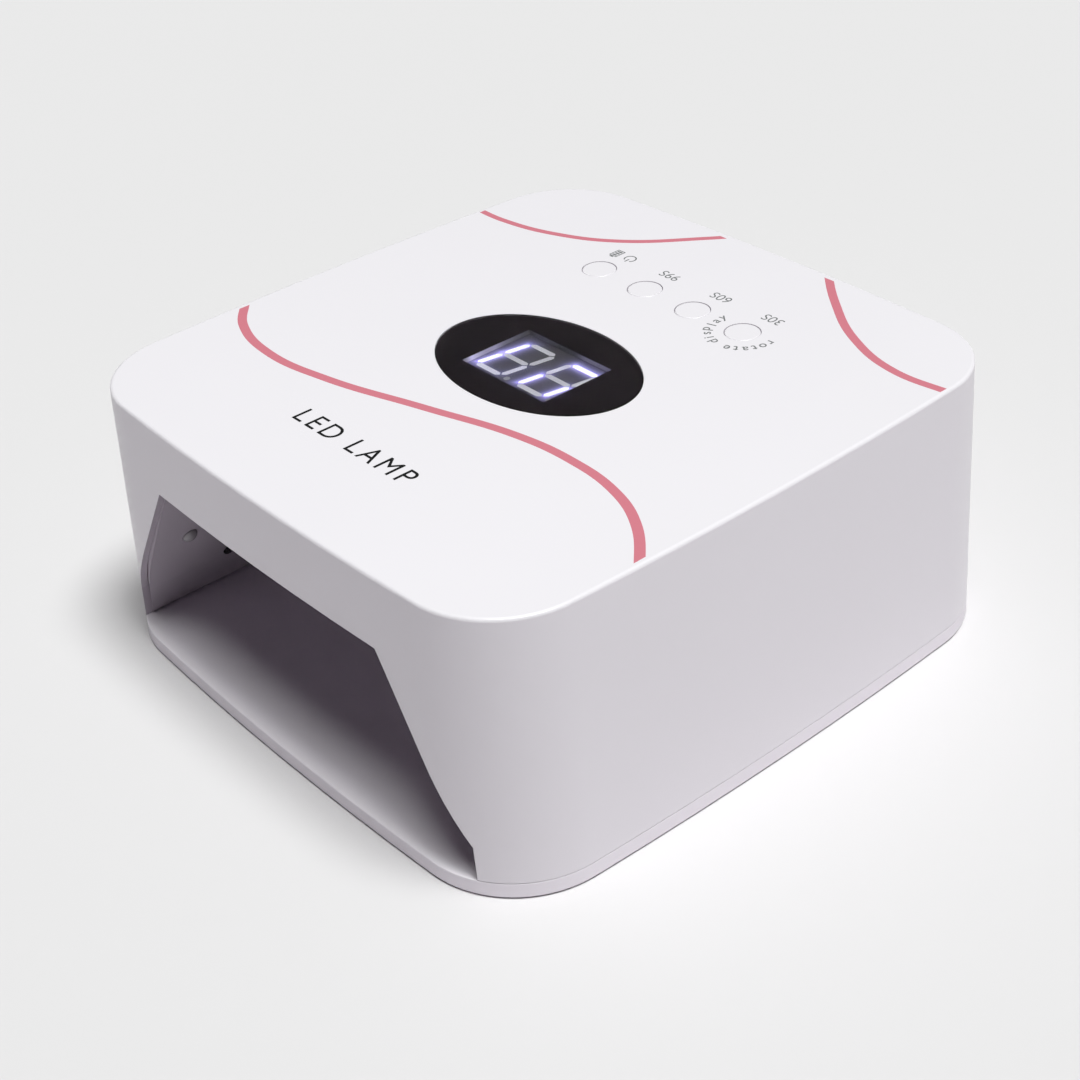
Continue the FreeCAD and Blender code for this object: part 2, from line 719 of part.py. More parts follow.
def make_header_pins():
    """The pins that feed the ceiling LED board from the control board."""
    low = LINER[0][1] + LINER_T + LED_BOARD_GAP + LED_BOARD_T
    middle, y = HEADER_AT
    return [disc(x, y, low, BOARD_TOP + 1.0, PIN_R) for x in pin_row(HEADER_PINS, middle)]


def under_board(x, y, size, standoff=0.0):
    """A block of a given size under the board, centred on (x, y)."""
    dx = size[0] / 2.0
    dy = size[1] / 2.0
    top = BOARD_TOP - BOARD_T - standoff
    return box(x - dx, x + dx, y - dy, y + dy, top - size[2], top)


def make_chip():
    """The controller under the board, with a row of legs along each side."""
    x, y = CHIP_AT
    chip = under_board(x, y, CHIP, CHIP_STANDOFF)
    for i in range(CHIP_LEGS):
        leg_x = x + CHIP_LEG_PITCH * (i - (CHIP_LEGS - 1) / 2.0)
        for side in (-1, 1):
            leg_y = y + side * (CHIP[1] + CHIP_LEG[1]) / 2.0
            chip = chip.fuse(under_board(leg_x, leg_y, CHIP_LEG))
    return chip.removeSplitter()


def make_components():
    """Coils, capacitors and power transistors under the board."""
    under = BOARD_TOP - BOARD_T
    pieces = [disc(x, y, under - COIL[1], under, COIL[0]) for x, y in COILS_AT]
    pieces += [under_board(x, y, CAPACITOR) for x, y in CAPACITORS_AT]
    pieces += [under_board(x, y, TRANSISTOR) for x, y in TRANSISTORS_AT]
    return pieces


def make_connectors():
    """White wire housings on the top of the board."""
    pieces = []
    for x, y, size_x, size_y in CONNECTORS.values():
        dx = size_x / 2.0
        dy = size_y / 2.0
        pieces.append(box(x - dx, x + dx, y - dy, y + dy, BOARD_TOP, BOARD_TOP + CONNECTOR_H))
    return pieces


# ---------------------------------------------------------------- buttons

def make_button_cap(x, y):
    """A flush cap with a retaining flange under the top wall and a stem down to the switch."""
    flange_r, flange_t = BUTTON_FLANGE
    flange_top = HEIGHT - TOP_WALL - 0.1
    cap = disc(x, y, flange_top - flange_t, HEIGHT, BUTTON_HOLE_R - BUTTON_GAP)
    cap = cap.makeFillet(0.4, edges_at(cap, HEIGHT))
    flange = disc(x, y, flange_top - flange_t, flange_top, flange_r)
    stem = disc(x, y, plunger_top() + 0.02, flange_top, BUTTON_STEM_R)
    return fused([cap, flange, stem])


def plunger_top():
    return BOARD_TOP + SWITCH[2] + PLUNGER_RISE


def make_plunger(x, y):
    low = BOARD_TOP + SWITCH[2] - PLUNGER_BORE + BUTTON_TRAVEL + 0.3
    return disc(x, y, low, plunger_top(), PLUNGER_R)


def make_switches():
    """Square push switches with a bore for their plunger."""
    switches = []
    dx = SWITCH[0] / 2.0
    dy = SWITCH[1] / 2.0
    top = BOARD_TOP + SWITCH[2]
    for _, x, y in button_places():
        body = box(x - dx, x + dx, y - dy, y + dy, BOARD_TOP, top)
        switches.append(body.cut(disc(x, y, top - PLUNGER_BORE, top + 1.0, PLUNGER_BORE_R)))
    return switches


# ---------------------------------------------------------------- batteries

def make_cells(side):
    """Two round cells in line, with a raised end on each."""
    x, z = CELL_AT
    tip_r, tip_h = CELL_TIP
    cells = []
    for low in (-CELL_LENGTH - 0.1, 0.1):
        high = low + CELL_LENGTH
        can = rod(side * x, low, high - tip_h, z, CELL_R)
        can = can.makeFillet(0.8, [e for e in can.Edges if e.BoundBox.YLength < 1e-4])
        cells.append(can.fuse(rod(side * x, high - tip_h - 1.0, high, z, tip_r)).removeSplitter())
    return cells


def make_holder(side):
    """An open-topped cradle for one pack."""
    x, z = CELL_AT
    half_y = CELL_LENGTH + 0.1 + CONTACT_T + HOLDER_END
    low = z - CELL_R - HOLDER_FLOOR
    block = box(side * x - HOLDER_HALF_W, side * x + HOLDER_HALF_W, -half_y, half_y, low, z + HOLDER_RISE)
    inner = half_y - HOLDER_END
    radius = CELL_R + 0.1
    trough = rod(side * x, -inner, inner, z, radius)
    opening = box(side * x - radius, side * x + radius, -inner, inner, z, z + radius)
    return block.cut(trough.fuse(opening))


def make_contacts(side):
    """A metal plate at each end of a pack."""
    x, z = CELL_AT
    near = CELL_LENGTH + 0.1
    contacts = []
    for low in (-near - CONTACT_T, near):
        contacts.append(box(side * x - CONTACT_HALF_W, side * x + CONTACT_HALF_W, low, low + CONTACT_T,
                            z - CONTACT_LOW, z + CONTACT_HIGH))
    return contacts


def make_foam_pads(side):
    """Double-sided foam between the cradle and the side wall, wedge-shaped like the gap."""
    x, z = CELL_AT
    inside = casing_block(WALL, SHELL_BOTTOM, HEIGHT - TOP_WALL)
    near = side * (x + HOLDER_HALF_W)
    far = near + side * OVERCUT
    pads = []
    for y in (-FOAM_Y, FOAM_Y):
        pad = box(min(near, far), max(near, far), y - FOAM_HALF_L, y + FOAM_HALF_L, z - FOAM_H, z)
        pads.append(pad.common(inside))
    return pads


# ---------------------------------------------------------------- inlet

def rear_wall_inside(z):
    """Y of the rear wall's inner face on the centre line, at height z."""
    grow = SPREAD * (HEIGHT - z) / (HEIGHT - FOOT_DROP)
    return TOP_HALF_Y + grow - WALL


def jack_face():
    """Y of the inlet's outer face, just proud of the rear wall."""
    return rear_wall_inside(JACK_Z) + WALL + 0.2


def jack_block_rear():
    """Y of the rear of the inlet's block, against the rear wall at the block's top edge."""
    return rear_wall_inside(JACK_Z + JACK_BODY[1] / 2.0)


def make_jack():
    """The inlet: a block inside the rear wall, with a round nose in the wall's hole."""
    width, tall, deep = JACK_BODY
    rear = jack_block_rear()
    body = box(-width / 2.0, width / 2.0, rear - deep, rear - 0.1, JACK_Z - tall / 2.0, JACK_Z + tall / 2.0)
    nose = rod(0.0, rear - 2.0, jack_face(), JACK_Z, JACK_NOSE_R)
    bore = rod(0.0, jack_face() - JACK_BORE_DEPTH, jack_face() + OVERCUT, JACK_Z, JACK_BORE_R)
    return fused([body, nose]).cut(bore)


def make_jack_pin():
    start = jack_face() - JACK_BORE_DEPTH
    pin = rod(0.0, start, jack_face() - 1.0, JACK_Z, JACK_PIN_R)
    return pin.makeFillet(0.5, [e for e in pin.Edges if abs(e.BoundBox.YMin - pin.BoundBox.YMax) < 1e-4])


# ---------------------------------------------------------------- internal leads

def lead(points, radius=LEAD_R, bend=LEAD_BEND_R):
    """A round lead along straight runs joined by tangent arcs."""
    vectors = [Vector(*point) for point in points]
    edges = []
    start = vectors[0]
    for before, corner, after in zip(vectors[:-2], vectors[1:-1], vectors[2:]):
        into = (corner - before).normalize()
        out = (after - corner).normalize()
        half_turn = into.getAngle(out) / 2.0
        cut = bend * math.tan(half_turn)
        first = corner - into * cut
        last = corner + out * cut
        inward = (out - into).normalize()
        middle = corner + inward * (bend / math.cos(half_turn) - bend)
        edges.append(Part.makeLine(start, first))
        edges.append(Part.Arc(first, middle, last).toShape())
        start = last
    edges.append(Part.makeLine(start, vectors[-1]))
    path = Part.Wire(edges)
    direction = vectors[1] - vectors[0]
    section = Part.Wire(Part.makeCircle(radius, vectors[0], direction))
    return path.makePipeShell([section], True, False)


def battery_lead(side, end):
    """From a pack's end contact up beside the top wall and in to its connector."""
    x, z = CELL_AT
    y = end * (CELL_LENGTH + 0.1 + CONTACT_T / 2.0)
    plug_x, plug_y, size_x, _ = CONNECTORS["battery_left" if side < 0 else "battery_right"]
    high = BOARD_TOP + CONNECTOR_H / 2.0 - 0.6 + end * 1.4
    target_y = plug_y + end * 2.0
    face = plug_x + side * size_x / 2.0
    return lead([
        (side * x, y, z + CONTACT_HIGH),
        (side * x, y, high),
        (face + side * 14.0, target_y, high),
        (face, target_y, high),
    ])


def led_lead(side, offset):
    """From a side LED board's back up to its connector."""
    place = panel_places()["left" if side < 0 else "right"]
    back = LINER_T + LED_BOARD_GAP + LED_BOARD_T
    plug_x, plug_y, size_x, _ = CONNECTORS["led_left" if side < 0 else "led_right"]
    start = place.multVec(Vector(side * 11.0, plug_y + offset, -back))
    out = place.multVec(Vector(side * 11.0, plug_y + offset, -back - 8.0))
    high = BOARD_TOP + THIN_LEAD_H
    return lead([
        tuple(start),
        tuple(out),
        (out.x, out.y, high),
        (plug_x + side * size_x / 2.0, out.y, high),
    ], THIN_LEAD_R, THIN_LEAD_BEND_R)


def rear_lead(x):
    """From the rear LED board over the back of the liner to its connector."""
    y = CHAMBER_REAR + LINER_T + LED_BOARD_GAP + LED_BOARD_T
    high = BOARD_TOP + THIN_LEAD_H
    _, plug_y, _, size_y = CONNECTORS["led_rear"]
    return lead([
        (x, y, REAR_PANEL_Z + 10.0),
        (x, y + 5.0, REAR_PANEL_Z + 10.0),
        (x, y + 5.0, high),
        (x, plug_y + size_y / 2.0, high),
    ], THIN_LEAD_R, THIN_LEAD_BEND_R)


def inlet_lead(x, high):
    """From the top of the inlet's block up to its connector."""
    y = jack_block_rear() - JACK_BODY[2] + 3.0
    plug_x, plug_y, _, size_y = CONNECTORS["inlet"]
    return lead([
        (x, y, JACK_Z + JACK_BODY[1] / 2.0),
        (x, y, 46.0),
        (plug_x + x, y, 60.0),
        (plug_x + x, y, high),
        (plug_x + x, plug_y + size_y / 2.0, high),
    ])


# ---------------------------------------------------------------- write every node

def main():
    write_node("base_tray", [make_base_tray()])
    write_node("rubber_feet", make_feet())
    write_node("base_magnets", make_magnets())

    write_node("outer_shell", [make_shell()])
    write_node("window_lens", [make_lens()])
    write_node("window_mask", [make_mask()])
    write_node("chamber_liner", [make_liner()])
    low = LINER[-1][1]
    keepers = [disc(x, y, low, low + KEEPER_T, MAGNET_R) for x, y in corners(*MAGNET_AT)]
    write_node("keeper_discs", keepers)
    write_node("liner_screws", make_liner_screws())

    write_node("display_module", [make_display()])
    write_node("left_digit_segments", make_digit(-1))
    write_node("right_digit_segments", make_digit(1))
    write_node("display_pins", make_display_pins())
    write_node("control_board", [make_control_board()])
    write_node("board_screws", make_board_screws())
    write_node("controller_chip", [make_chip()])
    write_node("board_components", make_components())
    write_node("board_connectors", make_connectors())
    write_node("header_pins", make_header_pins())
    write_node("switch_bodies", make_switches())
    for name, x, y in button_places():
        write_node("button_cap_" + name, [make_button_cap(x, y)])
        write_node("switch_plunger_" + name, [make_plunger(x, y)])

    for panel in ("left", "right", "ceiling", "rear"):
        write_node("led_board_" + panel, [make_led_board(panel)])
        write_node("led_beads_" + panel, make_beads(panel))
    write_node("led_board_screws", make_led_screws())
    for side, word in ((-1, "left"), (1, "right")):
        write_node("hand_sensor_" + word, [sensor_body(side)])
        write_node("battery_cells_" + word, make_cells(side))
        write_node("battery_cradle_" + word, [make_holder(side)])
    write_node("battery_contacts", make_contacts(-1) + make_contacts(1))
    write_node("battery_foam_pads", make_foam_pads(-1) + make_foam_pads(1))

    write_node("power_inlet", [make_jack()])
    write_node("inlet_pin", [make_jack_pin()])
    write_node("battery_leads_positive", [battery_lead(side, 1) for side in (-1, 1)])
    write_node("battery_leads_negative", [battery_lead(side, -1) for side in (-1, 1)])
    led_leads = [led_lead(side, offset) for side in (-1, 1) for offset in (-1.2, 1.2)]
    write_node("led_leads", led_leads + [rear_lead(-2.1), rear_lead(-0.1)])
    write_node("inlet_leads", [inlet_lead(-2.0, BOARD_TOP + 2.2), inlet_lead(2.0, BOARD_TOP + 3.6)])


main()
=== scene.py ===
import json
import math

import bmesh
import bpy
from mathutils import Matrix, Vector


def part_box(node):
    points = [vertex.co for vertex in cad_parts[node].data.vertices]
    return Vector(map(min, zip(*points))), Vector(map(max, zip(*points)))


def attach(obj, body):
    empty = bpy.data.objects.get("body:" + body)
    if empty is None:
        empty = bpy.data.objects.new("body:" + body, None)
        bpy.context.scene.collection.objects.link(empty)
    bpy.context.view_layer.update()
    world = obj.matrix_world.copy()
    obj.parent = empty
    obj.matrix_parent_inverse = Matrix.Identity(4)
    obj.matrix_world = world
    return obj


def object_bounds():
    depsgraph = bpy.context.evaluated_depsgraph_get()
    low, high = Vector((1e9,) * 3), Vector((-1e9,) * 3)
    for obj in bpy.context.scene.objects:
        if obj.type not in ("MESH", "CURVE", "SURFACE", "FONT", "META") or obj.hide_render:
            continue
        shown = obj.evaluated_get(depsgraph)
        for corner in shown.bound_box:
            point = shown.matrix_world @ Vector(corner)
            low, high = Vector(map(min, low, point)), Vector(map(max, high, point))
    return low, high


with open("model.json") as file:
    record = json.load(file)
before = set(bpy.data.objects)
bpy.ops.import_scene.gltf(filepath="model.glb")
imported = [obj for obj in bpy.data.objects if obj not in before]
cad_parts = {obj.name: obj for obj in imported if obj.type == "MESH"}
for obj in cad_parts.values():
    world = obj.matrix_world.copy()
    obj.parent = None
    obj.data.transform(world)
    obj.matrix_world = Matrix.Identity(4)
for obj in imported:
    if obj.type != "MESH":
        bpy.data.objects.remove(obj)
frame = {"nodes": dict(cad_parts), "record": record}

# A cordless LED nail lamp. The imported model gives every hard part; this script gives the parts their
# materials, lights the display and adds what is printed on the casing. Metres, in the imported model's
# frame, except where a value is said to be in millimetres.

cad_low, cad_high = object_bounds()
scene = bpy.context.scene
nodes = frame["nodes"]
MM = 0.001

# ---------------------------------------------------------------- camera

AZIMUTH = math.radians(51.17)
ELEVATION = math.radians(33.78)
ROLL = math.radians(-3.84)
DISTANCE = 559.56 * MM
TARGET = Vector((10.72, -11.57, 36.2)) * MM
LENS = 62.66


def add_camera():
    """The view from the front right, with its small roll."""
    back = Vector((
        math.sin(AZIMUTH) * math.cos(ELEVATION),
        -math.cos(AZIMUTH) * math.cos(ELEVATION),
        math.sin(ELEVATION),
    ))
    level = Vector((0, 0, 1)).cross(back).normalized()
    upright = back.cross(level)
    right = level * math.cos(ROLL) + upright * math.sin(ROLL)
    up = upright * math.cos(ROLL) - level * math.sin(ROLL)
    data = bpy.data.cameras.new("camera")
    data.sensor_width = 36.0
    data.lens = LENS
    data.clip_start = 0.01
    data.clip_end = 50.0
    camera = bpy.data.objects.new("camera", data)
    camera.matrix_world = Matrix((right, up, back)).transposed().to_4x4()
    camera.location = TARGET + back * DISTANCE
    scene.collection.objects.link(camera)
    scene.camera = camera


add_camera()

# ---------------------------------------------------------------- material tools


class Recipe:
    """A node material built up step by step around one Principled shader."""

    def __init__(self, name, colour, roughness, **settings):
        self.material = bpy.data.materials.new(name)
        self.material.use_nodes = True
        self.tree = self.material.node_tree
        self.shader = self.tree.nodes["Principled BSDF"]
        self.shader.inputs["Base Color"].default_value = (*colour, 1.0)
        self.shader.inputs["Roughness"].default_value = roughness
        for socket, value in settings.items():
            self.shader.inputs[socket.replace("_", " ")].default_value = value
        self.place = self.node("ShaderNodeTexCoord").outputs["Object"]

    def node(self, kind, **settings):
        """A new node, with plain attributes set."""
        made = self.tree.nodes.new(kind)
        for name, value in settings.items():
            setattr(made, name, value)
        return made

    def link(self, out, into):
        """Joins an output socket to an input socket."""
        self.tree.links.new(out, into)

    def stretched(self, scale):
        """Object coordinates scaled separately along X, Y and Z."""
        mapping = self.node("ShaderNodeMapping")
        mapping.inputs["Scale"].default_value = scale
        self.link(self.place, mapping.inputs["Vector"])
        return mapping.outputs["Vector"]

    def noise(self, scale, detail=3.0, stretch=None):
        """Noise with features of about 1/scale metres."""
        made = self.node("ShaderNodeTexNoise")
        made.inputs["Scale"].default_value = scale
        made.inputs["Detail"].default_value = detail
        self.link(self.stretched(stretch) if stretch else self.place, made.inputs["Vector"])
        return made.outputs["Fac"]

    def math(self, operation, *values):
        """A Math node fed with sockets or plain numbers."""
        made = self.node("ShaderNodeMath", operation=operation)
        for socket, value in zip(made.inputs, values):
            if isinstance(value, bpy.types.NodeSocket):
                self.link(value, socket)
            else:
                socket.default_value = value
        return made.outputs[0]

    def vector(self, operation, *values):
        """A Vector Math node fed with sockets or plain vectors."""
        made = self.node("ShaderNodeVectorMath", operation=operation)
        for socket, value in zip(made.inputs, values):
            if isinstance(value, bpy.types.NodeSocket):
                self.link(value, socket)
            else:
                socket.default_value = value
        return made.outputs["Vector"]

    def spread(self, value, low, high):
        """The middle of a noise's range spread between two numbers."""
        made = self.node("ShaderNodeMapRange")
        for socket, number in (("From Min", 0.3), ("From Max", 0.7), ("To Min", low), ("To Max", high)):
            made.inputs[socket].default_value = number
        self.link(value, made.inputs["Value"])
        return made.outputs["Result"]

    def colours(self, factor, first, second):
        """Base colour between two colours, by a 0 to 1 factor."""
        made = self.node("ShaderNodeMix", data_type="RGBA")
        self.link(factor, made.inputs["Factor"])
        colour_inputs = made.inputs[6:8]
        colour_output = made.outputs[2]
        for socket, colour in zip(colour_inputs, (first, second)):
            socket.default_value = (*colour, 1.0)
        self.link(colour_output, self.shader.inputs["Base Color"])

    def roughness(self, factor, low, high):
        """Roughness between two numbers, by a noise."""
        self.link(self.spread(factor, low, high), self.shader.inputs["Roughness"])

    def relief(self, height, depth):
        """Surface relief of a given depth in metres."""
        bump = self.node("ShaderNodeBump")
        bump.inputs["Distance"].default_value = depth
        self.link(height, bump.inputs["Height"])
        self.link(bump.outputs["Normal"], self.shader.inputs["Normal"])


TONE_SCALE = 18.0  # noise features of a moulded part's tone, per metre
GLOSS_SCALE = 55.0  # and of its gloss


def moulded(name, colour, shade, rough, grain, depth):
    """Moulded plastic or rubber: a slow change of tone, uneven gloss and a fine grain."""
    recipe = Recipe(name, colour, rough[0])
    recipe.colours(recipe.noise(TONE_SCALE, 2.0), colour, shade)
    recipe.roughness(recipe.noise(GLOSS_SCALE, 4.0), *rough)
    recipe.relief(recipe.noise(grain, 2.0), depth)
    return recipe


def metal(name, colour, shade, rough, along):
    """Plated or turned metal with fine drawn lines along one axis."""
    recipe = Recipe(name, colour, rough[0], Metallic=1.0)
    recipe.colours(recipe.noise(60.0), colour, shade)
    lines = recipe.noise(2500.0, 2.0, along)
    recipe.roughness(lines, *rough)
    recipe.relief(lines, 2e-6)
    return recipe


def circuit_board(name, mask, track):
    """Solder mask over branching copper tracks."""
    recipe = Recipe(name, mask, 0.35)
    cells = recipe.node("ShaderNodeTexVoronoi", feature="DISTANCE_TO_EDGE", distance="CHEBYCHEV")
    cells.inputs["Scale"].default_value = 260.0
    recipe.link(recipe.place, cells.inputs["Vector"])
    edge = recipe.math("LESS_THAN", cells.outputs["Distance"], 0.09)
    recipe.colours(edge, mask, track)
    recipe.relief(edge, 3e-5)
    return recipe


def clear_acrylic(name):
    """The polished window, with very faint wiping marks in its gloss."""
    recipe = Recipe(name, (0.97, 0.97, 0.98), 0.0, Transmission_Weight=1.0, IOR=1.49)
    recipe.roughness(recipe.noise(120.0, 4.0), 0.03, 0.035)
    recipe.colours(recipe.noise(20.0), (0.97, 0.97, 0.98), (0.94, 0.95, 0.97))
    return recipe


def led_bead(name):
    """Clear resin domes over a small dark die."""
    recipe = Recipe(name, (0.34, 0.32, 0.35), 0.25, Coat_Weight=0.3)
    recipe.colours(recipe.noise(400.0), (0.38, 0.36, 0.39), (0.26, 0.24, 0.25))
    recipe.relief(recipe.noise(900.0), 1e-5)
    return recipe


def cell_wrap(name):
    """Blue shrink wrap, drawn tight over the can, with a wrinkle here and there."""
    recipe = Recipe(name, (0.03, 0.12, 0.36), 0.25, Coat_Weight=0.4)
    recipe.colours(recipe.noise(30.0), (0.03, 0.12, 0.36), (0.02, 0.09, 0.28))
    recipe.relief(recipe.noise(300.0, 3.0, (1.0, 0.15, 1.0)), 6e-5)
    return recipe


def foam(name):
    """Closed-cell foam tape."""
    recipe = Recipe(name, (0.20, 0.20, 0.21), 0.95)
    cells = recipe.node("ShaderNodeTexVoronoi")
    cells.inputs["Scale"].default_value = 1400.0
    recipe.link(recipe.place, cells.inputs["Vector"])
    recipe.colours(cells.outputs["Distance"], (0.14, 0.14, 0.15), (0.28, 0.28, 0.29))
    recipe.relief(cells.outputs["Distance"], 2e-4)
    return recipe


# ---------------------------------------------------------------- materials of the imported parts

# Moulded parts: colour, its darker tone, lowest and highest roughness, grain scale, grain depth.
MOULDED = {
    "white_shell": ((0.770, 0.722, 0.786), (0.757, 0.709, 0.773), (0.33, 0.345), 1800.0, 2e-6),
    "white_button": ((0.770, 0.722, 0.786), (0.757, 0.709, 0.773), (0.29, 0.31), 1800.0, 2e-6),
    "white_tray": ((0.80, 0.742, 0.816), (0.78, 0.722, 0.796), (0.40, 0.43), 1500.0, 4e-6),
    # white_liner is the same white plastic as the shell, given a darker colour as painted shade for the
    # inside of the hand chamber.
    "white_liner": ((0.49, 0.436, 0.500), (0.47, 0.416, 0.480), (0.40, 0.44), 1500.0, 4e-6),
    "grey_rubber": ((0.09, 0.09, 0.095), (0.07, 0.07, 0.073), (0.75, 0.90), 900.0, 4e-5),
    "display_grey": ((0.11, 0.10, 0.12), (0.09, 0.082, 0.10), (0.40, 0.50), 1500.0, 4e-6),
    "sensor_black": ((0.006, 0.005, 0.007), (0.01, 0.008, 0.01), (0.08, 0.15), 500.0, 1e-6),
    "chip_black": ((0.02, 0.02, 0.022), (0.03, 0.03, 0.032), (0.50, 0.70), 1500.0, 1e-5),
    "component_grey": ((0.10, 0.10, 0.11), (0.16, 0.16, 0.17), (0.40, 0.70), 800.0, 2e-5),
    "connector_white": ((0.78, 0.76, 0.68), (0.72, 0.70, 0.62), (0.35, 0.50), 900.0, 5e-6),
    "switch_black": ((0.03, 0.03, 0.033), (0.02, 0.02, 0.022), (0.35, 0.50), 1200.0, 8e-6),
    "cradle_black": ((0.04, 0.04, 0.044), (0.03, 0.03, 0.033), (0.45, 0.60), 900.0, 1e-5),
    "lead_red": ((0.42, 0.02, 0.02), (0.34, 0.015, 0.015), (0.35, 0.50), 1200.0, 5e-6),
    "lead_black": ((0.02, 0.02, 0.02), (0.03, 0.03, 0.03), (0.35, 0.50), 1200.0, 5e-6),
    "lead_white": ((0.72, 0.72, 0.72), (0.64, 0.64, 0.64), (0.35, 0.50), 1200.0, 5e-6),
    "black_print": ((0.026, 0.019, 0.023), (0.028, 0.021, 0.025), (0.30, 0.31), 900.0, 1e-6),
}
# Metal parts: colour, its darker tone, lowest and highest roughness, stretch of the drawn lines.
METALS = {
    "magnet_nickel": ((0.72, 0.70, 0.67), (0.62, 0.60, 0.58), (0.15, 0.30), (1.0, 1.0, 0.1)),
    "zinc_steel": ((0.56, 0.57, 0.60), (0.48, 0.50, 0.55), (0.25, 0.45), (1.0, 1.0, 0.1)),
    "pin_brass": ((0.78, 0.62, 0.34), (0.66, 0.52, 0.30), (0.20, 0.35), (1.0, 1.0, 0.1)),
}
BOARDS = {
    "board_green": ((0.012, 0.12, 0.05), (0.03, 0.22, 0.08)),
    "board_white": ((0.74, 0.74, 0.74), (0.62, 0.62, 0.62)),
}
SPECIAL = {
    "clear_acrylic": clear_acrylic,
    "bead_clear": led_bead,
    "cell_wrap": cell_wrap,
    "foam_grey": foam,
}

recipes = {}
for finish, facts in MOULDED.items():
    recipes[finish] = moulded(finish, *facts)
for finish, facts in METALS.items():
    recipes[finish] = metal(finish, *facts)
for finish, facts in BOARDS.items():
    recipes[finish] = circuit_board(finish, *facts)
for finish, make in SPECIAL.items():
    recipes[finish] = make(finish)

finish_of = {part["node"]: part["material_slot"] for part in frame["record"]["subparts"]}


def dress(node_name, materials):
    """Replaces a CAD node's materials; its mesh isn't touched."""
    data = nodes[node_name].data
    data.materials.clear()
    for material in materials:
        data.materials.append(material)


for node_name, finish in finish_of.items():
    if finish in recipes:
        dress(node_name, [recipes[finish].material])

# ---------------------------------------------------------------- display

SLANT = math.tan(math.radians(10.0))
GLOW = {"dull": 0.0, "off": 0.0, "faint": 0.22, "lit": 1.0}
HALO = {"faint": 0.15, "lit": 1.0}
VIOLET = (0.42, 0.38, 1.0, 1.0)
LILAC = (0.72, 0.68, 1.0, 1.0)
DOT_TOLERANCE = 0.1 * MM  # a digit's round dot is as wide as it is high, to within this
# Each digit's glowing bars, by where they lie: top, middle, bottom, then upper and lower, left and right.
LIT = {
    "left_digit_segments": {
        "upper left": "lit", "lower left": "lit", "bottom": "faint", "lower right": "faint",
    },
    "right_digit_segments": {
        "top": "lit", "lower left": "lit", "lower right": "lit", "upper left": "faint",
    },
}


def segment_material(word):
    """Milky resin bars of the display, with the light they give off."""
    tone = 0.40 if word == "dull" else 0.86
    recipe = Recipe("segment_" + word, (tone, 0.97 * tone, tone), 0.35)
    grain = recipe.noise(900.0)
    recipe.colours(grain, (tone, 0.97 * tone, 1.05 * tone), (0.92 * tone, 0.89 * tone, 0.96 * tone))
    if GLOW[word]:
        recipe.shader.inputs["Emission Color"].default_value = LILAC
        strength = recipe.spread(grain, 0.92 * GLOW[word], 1.08 * GLOW[word])
        recipe.link(strength, recipe.shader.inputs["Emission Strength"])
    return recipe.material


def islands(mesh):
    """The separate solids of a mesh, as lists of polygon indices."""
    scratch = bmesh.new()
    scratch.from_mesh(mesh)
    bmesh.ops.remove_doubles(scratch, verts=scratch.verts, dist=1e-7)
    found = []
    seen = set()
    for start in scratch.faces:
        if start in seen:
            continue
        seen.add(start)
        queue = [start]
        group = []
        while queue:
            face = queue.pop()
            group.append(face.index)
            beside = {other for edge in face.edges for other in edge.link_faces} - seen
            seen |= beside
            queue += beside
        found.append(group)
    scratch.free()
    return found


def upright(point):
    """A point of the display face with the digits' slant taken out."""
    return Vector((point.x - point.y * SLANT, point.y, 0.0))


def bar_name(place):
    """Which bar of its digit lies at this place, given in halves of the digit's box."""
    if abs(place.x) < 0.4:
        return "middle" if abs(place.y) < 0.3 else ("top" if place.y > 0 else "bottom")
    return ("upper " if place.y > 0 else "lower ") + ("right" if place.x > 0 else "left")


def light_digit(node_name):
    """Gives each bar of a digit its brightness; returns the glowing bars as (centre, half size, word)."""
    mesh = nodes[node_name].data
    words = list(GLOW)
    dress(node_name, [segment_looks[word] for word in words])
    bars = []
    for group in islands(mesh):
        corners = [upright(mesh.vertices[i].co) for index in group for i in mesh.polygons[index].vertices]
        low = Vector((min(c.x for c in corners), min(c.y for c in corners), 0.0))
        high = Vector((max(c.x for c in corners), max(c.y for c in corners), 0.0))
        bars.append(((low + high) / 2, (high - low) / 2, group))
    low_y = min(centre.y for centre, half, group in bars)
    high_y = max(centre.y for centre, half, group in bars)
    tall = [centre.x for centre, half, group in bars if half.y > 2 * half.x]
    middle = Vector(((min(tall) + max(tall)) / 2, (low_y + high_y) / 2, 0.0))
    reach = Vector(((max(tall) - min(tall)) / 2, (high_y - low_y) / 2, 1.0))
    glowing = []
    for centre, half, group in bars:
        place = centre - middle
        round_dot = abs(half.x - half.y) < DOT_TOLERANCE
        name = "" if round_dot else bar_name(Vector((place.x / reach.x, place.y / reach.y, 0.0)))
        word = "dull" if round_dot else LIT[node_name].get(name, "off")
        for index in group:
            mesh.polygons[index].material_index = words.index(word)
        if GLOW[word]:
            glowing.append((centre, half, word))
    return glowing


